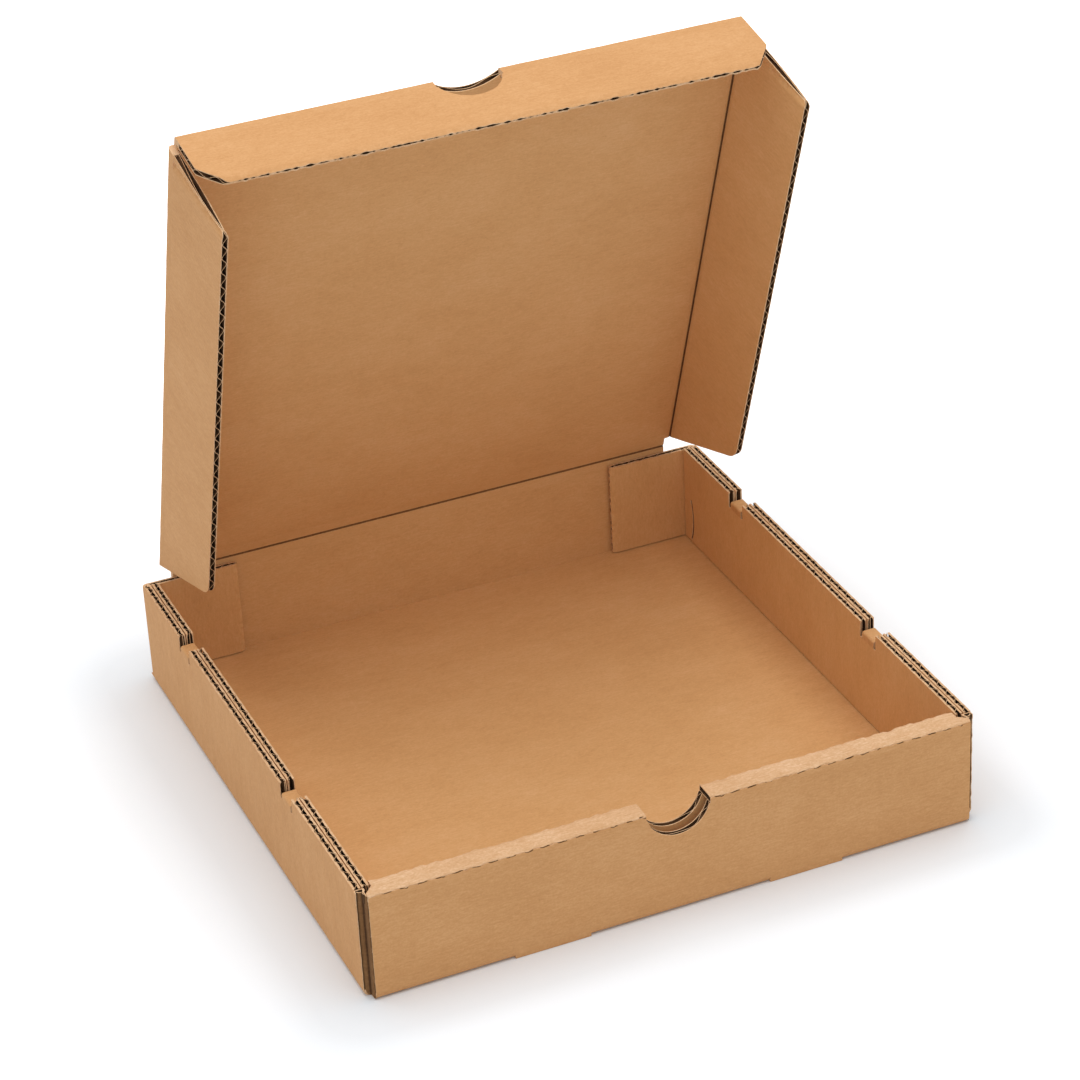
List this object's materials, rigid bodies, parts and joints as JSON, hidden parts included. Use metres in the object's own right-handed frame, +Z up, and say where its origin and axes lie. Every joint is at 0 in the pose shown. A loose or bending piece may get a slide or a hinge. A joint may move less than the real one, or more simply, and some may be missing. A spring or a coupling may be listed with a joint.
{
  "type": "pizza box",
  "caption": "Square low tray folded from corrugated board with a rolled front wall and a hinged lid that has tuck-in side and front flaps.",
  "frame": {"origin": "middle of the tray's underside, level with what the box stands on", "axes": "+X to the right along the front wall, +Y from the front wall to the rear wall and its hinge, +Z up"},
  "size_m": [0.2406, 0.2406, 0.2616],
  "materials": {
    "kraft_tray": "matte unbleached kraft liner",
    "kraft_lid": "matte unbleached kraft liner"
  },
  "bodies": {
    "tray": {"tray": "kraft_tray"},
    "lid": {"lid_panel": "kraft_lid"},
    "left_flap": {"lid_left_flap": "kraft_lid"},
    "right_flap": {"lid_right_flap": "kraft_lid"},
    "front_flap": {"lid_front_flap": "kraft_lid"}
  },
  "joints": [
    {"name": "lid_hinge", "type": "hinge", "parent": "tray", "child": "lid", "pos_m": [0, 0.1189, 0.0463], "axis": [-1, 0, 0], "range_deg": [-70, 108]},
    {"name": "left_flap_crease", "type": "hinge", "parent": "lid", "child": "left_flap", "pos_m": [-0.1105, 0.1189, 0.0463], "axis": [0, 0.342, -0.9397], "range_deg": [-8, 12]},
    {"name": "right_flap_crease", "type": "hinge", "parent": "lid", "child": "right_flap", "pos_m": [0.1105, 0.1189, 0.0463], "axis": [0, -0.342, 0.9397], "range_deg": [-24, 36]},
    {"name": "front_flap_crease", "type": "hinge", "parent": "lid", "child": "front_flap", "pos_m": [0, 0.04106, 0.26017], "axis": [-1, 0, 0], "range_deg": [-15, 22]}
  ],
  "couplings": [
    {"joint": "left_flap_crease", "follows": "lid_hinge", "ratio": 0.1},
    {"joint": "right_flap_crease", "follows": "lid_hinge", "ratio": 0.32},
    {"joint": "front_flap_crease", "follows": "lid_hinge", "ratio": 0.2}
  ]
}
